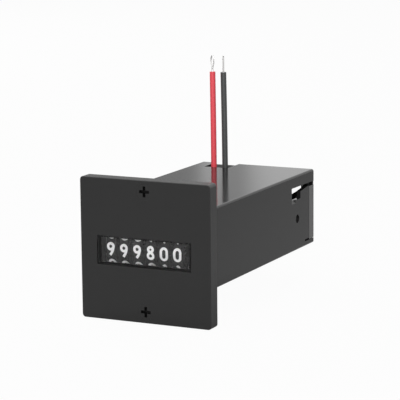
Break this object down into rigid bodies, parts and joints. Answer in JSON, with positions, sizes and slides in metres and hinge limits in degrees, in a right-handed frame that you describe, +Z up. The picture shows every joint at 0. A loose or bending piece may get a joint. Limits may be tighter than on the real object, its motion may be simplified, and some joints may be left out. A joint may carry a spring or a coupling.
{
  "type": "electromechanical panel counter",
  "caption": "Square-fronted panel counter with a glazed strip of number wheels, two plate screws, a long black housing and a red and a black lead.",
  "frame": {"origin": "on the back face of the front plate, midway between its two screws", "axes": "+Y back into the panel along the housing, +Z up, +X to the right seen from the front"},
  "size_m": [0.048, 0.09, 0.0804],
  "materials": {
    "plate_plastic": "fine satin black",
    "housing_plastic": "semi-gloss black",
    "lens": "clear plastic",
    "dark_steel": "black finish",
    "guide_rubber": "matt black",
    "sheet_steel": "zinc plated",
    "bright_steel": "ground",
    "wheel_plastic": "matt black with white numbers",
    "pinion_plastic": "natural white",
    "bobbin_plastic": "moulded black",
    "copper_wire": "enamelled wire",
    "tag_brass": "plain",
    "red_insulation": "soft satin red",
    "black_insulation": "soft satin black",
    "tinned_copper": "tinned strands"
  },
  "bodies": {
    "case": {"front_plate": "plate_plastic", "window_lens": "lens", "upper_plate_screw": "dark_steel", "lower_plate_screw": "dark_steel", "housing": "housing_plastic", "rear_cover": "housing_plastic", "lead_guide": "guide_rubber", "mechanism_frame": "sheet_steel", "wheel_shaft": "bright_steel", "pinion_shaft": "bright_steel", "armature_pin": "bright_steel", "return_spring": "bright_steel", "coil_bobbin": "bobbin_plastic", "coil_winding": "copper_wire", "iron_core": "sheet_steel", "yoke": "sheet_steel", "core_screw": "bright_steel", "red_terminal_tag": "tag_brass", "black_terminal_tag": "tag_brass", "red_lead": "red_insulation", "black_lead": "black_insulation", "red_strands": "tinned_copper", "black_strands": "tinned_copper"},
    "wheel_1": {"number_wheel_1": "wheel_plastic"},
    "wheel_2": {"number_wheel_2": "wheel_plastic"},
    "wheel_3": {"number_wheel_3": "wheel_plastic"},
    "wheel_4": {"number_wheel_4": "wheel_plastic"},
    "wheel_5": {"number_wheel_5": "wheel_plastic"},
    "wheel_6": {"number_wheel_6": "wheel_plastic", "drive_star": "wheel_plastic"},
    "pinion_1": {"carry_pinion_1": "pinion_plastic"},
    "pinion_2": {"carry_pinion_2": "pinion_plastic"},
    "pinion_3": {"carry_pinion_3": "pinion_plastic"},
    "pinion_4": {"carry_pinion_4": "pinion_plastic"},
    "pinion_5": {"carry_pinion_5": "pinion_plastic"},
    "armature_lever": {"armature": "sheet_steel", "drive_fork": "sheet_steel"}
  },
  "joints": [
    {"name": "wheel_1_turn", "type": "hinge", "parent": "case", "child": "wheel_1", "pos_m": [-0.01409, 0.0076, -0.00045], "axis": [1, 0, 0], "continuous": true},
    {"name": "wheel_2_turn", "type": "hinge", "parent": "case", "child": "wheel_2", "pos_m": [-0.00915, 0.0076, -0.00045], "axis": [1, 0, 0], "continuous": true},
    {"name": "wheel_3_turn", "type": "hinge", "parent": "case", "child": "wheel_3", "pos_m": [-0.00419, 0.0076, -0.00045], "axis": [1, 0, 0], "continuous": true},
    {"name": "wheel_4_turn", "type": "hinge", "parent": "case", "child": "wheel_4", "pos_m": [0.00076, 0.0076, -0.00045], "axis": [1, 0, 0], "continuous": true},
    {"name": "wheel_5_turn", "type": "hinge", "parent": "case", "child": "wheel_5", "pos_m": [0.00571, 0.0076, -0.00045], "axis": [1, 0, 0], "continuous": true},
    {"name": "wheel_6_turn", "type": "hinge", "parent": "case", "child": "wheel_6", "pos_m": [0.01065, 0.0076, -0.00045], "axis": [1, 0, 0], "continuous": true},
    {"name": "pinion_1_turn", "type": "hinge", "parent": "case", "child": "pinion_1", "pos_m": [-0.01162, 0.01775, -0.00518], "axis": [1, 0, 0], "continuous": true},
    {"name": "pinion_2_turn", "type": "hinge", "parent": "case", "child": "pinion_2", "pos_m": [-0.00667, 0.01775, -0.00518], "axis": [1, 0, 0], "continuous": true},
    {"name": "pinion_3_turn", "type": "hinge", "parent": "case", "child": "pinion_3", "pos_m": [-0.00172, 0.01775, -0.00518], "axis": [1, 0, 0], "continuous": true},
    {"name": "pinion_4_turn", "type": "hinge", "parent": "case", "child": "pinion_4", "pos_m": [0.00323, 0.01775, -0.00518], "axis": [1, 0, 0], "continuous": true},
    {"name": "pinion_5_turn", "type": "hinge", "parent": "case", "child": "pinion_5", "pos_m": [0.00818, 0.01775, -0.00518], "axis": [1, 0, 0], "continuous": true},
    {"name": "armature_swing", "type": "hinge", "parent": "case", "child": "armature_lever", "pos_m": [0, 0.0331, -0.0066], "axis": [-1, 0, 0], "range_deg": [0, 4], "stiffness_Nm_per_rad": 0.01, "springref_deg": -22.92}
  ],
  "couplings": [
    {"joint": "pinion_1_turn", "follows": "wheel_1_turn", "ratio": -2.5},
    {"joint": "pinion_2_turn", "follows": "wheel_2_turn", "ratio": -2.5},
    {"joint": "pinion_3_turn", "follows": "wheel_3_turn", "ratio": -2.5},
    {"joint": "pinion_4_turn", "follows": "wheel_4_turn", "ratio": -2.5},
    {"joint": "pinion_5_turn", "follows": "wheel_5_turn", "ratio": -2.5}
  ]
}
